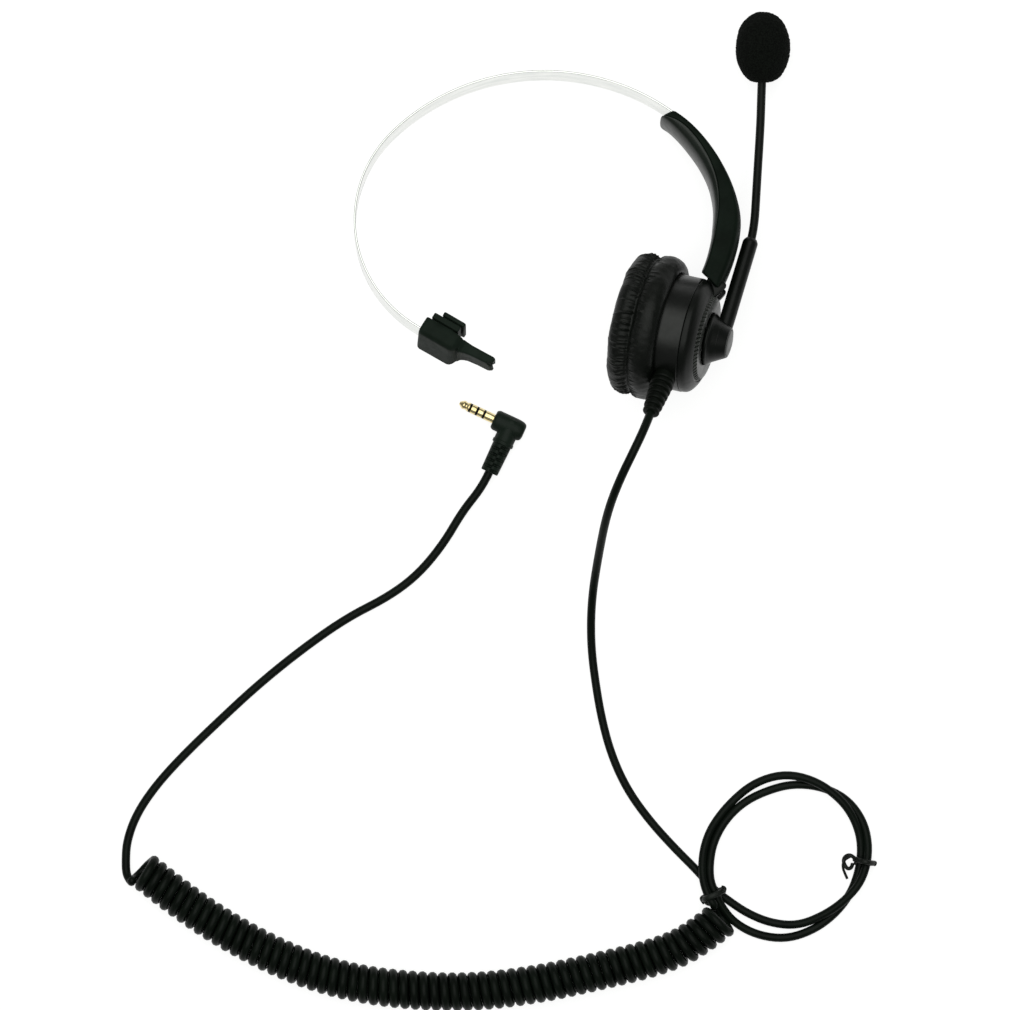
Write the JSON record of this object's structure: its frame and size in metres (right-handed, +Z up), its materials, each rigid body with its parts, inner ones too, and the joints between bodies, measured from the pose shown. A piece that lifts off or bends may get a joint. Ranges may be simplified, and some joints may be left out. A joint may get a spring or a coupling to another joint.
{
  "type": "office headset",
  "caption": "Monaural wired headset: pleated ear cup, sliding steel headband, turning gooseneck microphone boom, curly cord and right-angle jack plug.",
  "frame": {"origin": "middle of the footprint of the headset itself, cord left out, on the surface that it lies on", "axes": "+Z up from that surface; +X from the temple block towards the ear cup; +Y towards the crown and the foam windscreen"},
  "size_m": [0.2776, 0.3692, 0.0592],
  "materials": {
    "leatherette": "soft satin grain",
    "plate_abs": "matte",
    "screw_steel": "zinc plated",
    "gloss_abs": "polished",
    "satin_abs": "satin",
    "ring_abs": "satin",
    "frame_steel": "zinc plated",
    "diaphragm_film": "clear film",
    "magnet_ferrite": "ground",
    "board_epoxy": "solder mask",
    "boot_rubber": "matte",
    "matte_abs": "fine spark texture",
    "neck_rubber": "satin sleeve",
    "capsule_alloy": "turned",
    "foam": "open cell foam",
    "spring_steel": "polished strip",
    "slider_acetal": "moulded",
    "block_rubber": "satin",
    "cord_jacket": "satin jacket",
    "curly_jacket": "satin jacket",
    "tie_plastic": "paper and plastic",
    "insulator_plastic": "polished",
    "gold_plate": "gold plated",
    "plug_moulding": "satin"
  },
  "bodies": {
    "ear_cup": {"ear_cushion": "leatherette", "cushion_plate": "plate_abs", "plate_screws": "screw_steel", "front_shell": "gloss_abs", "rear_shell": "satin_abs", "knurled_ring": "ring_abs", "speaker_frame": "frame_steel", "diaphragm": "diaphragm_film", "speaker_magnet": "magnet_ferrite", "junction_board": "board_epoxy", "strain_relief": "boot_rubber", "hinge_pin": "screw_steel", "cord_ring": "cord_jacket", "twist_tie_one": "tie_plastic", "twist_tie_two": "tie_plastic", "headset_cord": "cord_jacket", "curly_cord": "curly_jacket", "plug_lead": "cord_jacket", "plug_insulator": "insulator_plastic", "plug_tip": "gold_plate", "plug_ring_one": "gold_plate", "plug_ring_two": "gold_plate", "plug_sleeve": "gold_plate", "plug_body": "plug_moulding", "plug_boot": "plug_moulding"},
    "boom": {"boom_hub": "satin_abs", "hub_cap": "gloss_abs", "hub_washer": "frame_steel", "hub_screw": "screw_steel", "boom_sleeve": "matte_abs", "gooseneck_lower": "neck_rubber"},
    "mic_tip": {"gooseneck_upper": "neck_rubber", "mic_housing": "matte_abs", "mic_capsule": "capsule_alloy", "foam_windscreen": "foam"},
    "swivel": {"swivel_stem": "satin_abs"},
    "arm": {"arm_outer_cover": "matte_abs", "arm_inner_cover": "satin_abs", "arm_screw": "screw_steel"},
    "headband": {"steel_band": "spring_steel", "detent_slider": "slider_acetal", "temple_block": "block_rubber"}
  },
  "joints": [
    {"name": "boom_turn", "type": "hinge", "parent": "ear_cup", "child": "boom", "pos_m": [0.05048, -0.04747, 0.03324], "axis": [0.9513, -0.2109, 0.225], "range_deg": [-125, 165]},
    {"name": "gooseneck_bend", "type": "hinge", "parent": "boom", "child": "mic_tip", "pos_m": [0.0681, 0.0185, 0.0125], "axis": [-0.1879, 0.1821, 0.9652], "range_deg": [-20, 35]},
    {"name": "cup_tilt", "type": "hinge", "parent": "ear_cup", "child": "swivel", "pos_m": [0.05153, -0.02858, 0.0291], "axis": [0, -0.2924, -0.9563], "range_deg": [-10, 3]},
    {"name": "cup_swivel", "type": "hinge", "parent": "swivel", "child": "arm", "pos_m": [0.05329, -0.02309, 0.02743], "axis": [0.2924, 0.9145, -0.2796], "range_deg": [-10, 10]},
    {"name": "band_slide", "type": "hinge", "parent": "arm", "child": "headband", "pos_m": [0.00687, -0.00252, 0.02114], "axis": [0, 0.2924, 0.9563], "range_deg": [0, 24]}
  ]
}
